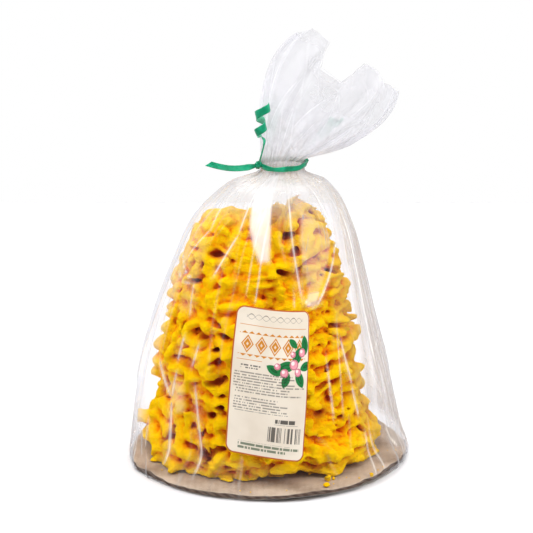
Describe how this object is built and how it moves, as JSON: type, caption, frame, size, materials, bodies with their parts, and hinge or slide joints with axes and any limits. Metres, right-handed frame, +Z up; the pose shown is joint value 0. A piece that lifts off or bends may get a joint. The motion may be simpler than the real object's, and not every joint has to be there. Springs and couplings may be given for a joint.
{
  "type": "tree cake in a tied clear bag",
  "caption": "Tall hollow spit-baked tree cake with ruffled, branched rings, on a round brown card in a clear bag gathered and tied with curling ribbon, with a paper label on the front.",
  "frame": {"origin": "the middle of the card's underside, where the part rests", "axes": "+Z up along the cake's height, -Y towards the front with the label, +X to the right seen from the front"},
  "size_m": [0.1954, 0.1947, 0.304],
  "materials": {
    "card": "matte",
    "cake": "matte",
    "film": "gloss",
    "label_paper": "satin",
    "ribbon": "satin"
  },
  "bodies": {
    "root": {"card": "card", "cake": "cake", "bag": "film", "label": "label_paper", "ribbon": "ribbon"}
  },
  "joints": []
}
